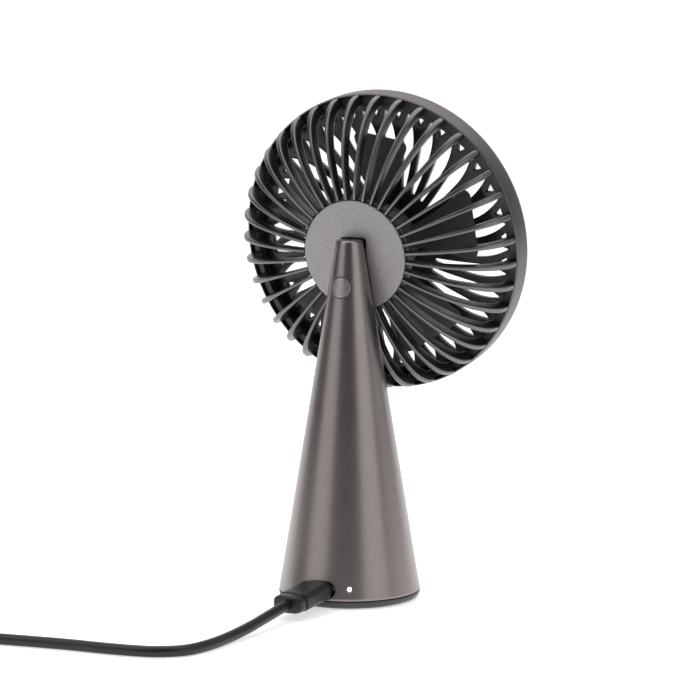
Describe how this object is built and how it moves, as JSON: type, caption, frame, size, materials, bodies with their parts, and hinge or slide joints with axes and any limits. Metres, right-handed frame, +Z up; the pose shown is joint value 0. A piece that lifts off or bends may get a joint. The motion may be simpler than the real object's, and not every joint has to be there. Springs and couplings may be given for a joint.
{
  "type": "desk fan",
  "caption": "Small rechargeable desk fan: round ribbed head that tilts on a slim cone stand, with a power button, charging port and lead.",
  "frame": {"origin": "centre of the base's rubber pad, on the surface that the fan stands on", "axes": "+Z up along the cone's axis, the fan blows towards -Y, the button and charging port face +Y"},
  "size_m": [0.2059, 0.1678, 0.1784],
  "materials": {
    "stand_metal": "satin gunmetal anodised, finely turned",
    "button_metal": "satin gunmetal, bead blasted",
    "disc_metal": "fine speckled metallic paint",
    "grille_grey": "metallic grey paint, satin",
    "trim_metal": "metallic taupe paint, satin",
    "slate_plastic": "satin moulded",
    "black_plastic": "matte moulded",
    "impeller_black": "matte moulded",
    "pad_rubber": "matte",
    "plug_plastic": "satin moulded",
    "cord_rubber": "satin extruded",
    "tie_strap": "woven strap",
    "screw_steel": "satin plated",
    "bearing_steel": "ground",
    "connector_steel": "plated",
    "ballast_steel": "raw",
    "magnet_steel": "dull",
    "stator_copper": "enamelled wire",
    "washer_brass": "satin",
    "battery_wrap": "shrink film",
    "circuit_board": "solder mask",
    "wire_red": "satin",
    "led_white": "lit white"
  },
  "bodies": {
    "stand": {"stand_cone": "stand_metal", "base_foot": "slate_plastic", "foot_pad": "pad_rubber", "foot_screw_1": "screw_steel", "foot_screw_2": "screw_steel", "foot_screw_3": "screw_steel", "usb_c_socket": "connector_steel", "main_pcb": "circuit_board", "charge_inductor": "black_plastic", "status_led": "led_white", "led_light_pipe": "led_white", "ballast_ring": "ballast_steel", "battery_holder": "black_plastic", "battery_cell": "battery_wrap", "stand_wire": "wire_red", "button_switch": "black_plastic", "button_board": "circuit_board", "hinge_pin": "screw_steel", "friction_washer_left": "washer_brass", "friction_washer_right": "washer_brass", "usb_c_shell": "connector_steel", "usb_c_plug_body": "plug_plastic", "usb_c_strain_relief": "plug_plastic", "usb_cord": "cord_rubber", "cord_coil": "cord_rubber", "coil_tie": "tie_strap", "cord_tail": "cord_rubber", "usb_a_strain_relief": "plug_plastic", "usb_a_plug_body": "plug_plastic", "usb_a_shell": "connector_steel"},
    "head": {"tilt_lug": "black_plastic", "hub_disc": "disc_metal", "rear_grille": "grille_grey", "trim_ring": "trim_metal", "front_grille": "slate_plastic", "front_cap": "trim_metal", "lug_screw_1": "screw_steel", "lug_screw_2": "screw_steel", "lug_screw_3": "screw_steel", "motor_base": "slate_plastic", "motor_screw_1": "screw_steel", "motor_screw_2": "screw_steel", "motor_screw_3": "screw_steel", "rear_bearing": "bearing_steel", "front_bearing": "bearing_steel", "motor_stator": "stator_copper", "motor_pcb": "circuit_board"},
    "rotor": {"rotor_magnet": "magnet_steel", "motor_shaft": "bearing_steel", "impeller": "impeller_black", "impeller_nut": "screw_steel"},
    "button": {"power_button": "button_metal"}
  },
  "joints": [
    {"name": "head_tilt", "type": "hinge", "parent": "stand", "child": "head", "pos_m": [0, -0.0016, 0.1222], "axis": [-1, 0, 0], "range_deg": [0, 20]},
    {"name": "impeller_spin", "type": "hinge", "parent": "head", "child": "rotor", "pos_m": [0, -0.00355, 0.1212], "axis": [0, -0.9903, 0.1392], "continuous": true},
    {"name": "button_press", "type": "slide", "parent": "stand", "child": "button", "axis": [0, -0.9867, -0.1623], "range_m": [0, 0.0006], "stiffness_N_per_m": 400}
  ]
}
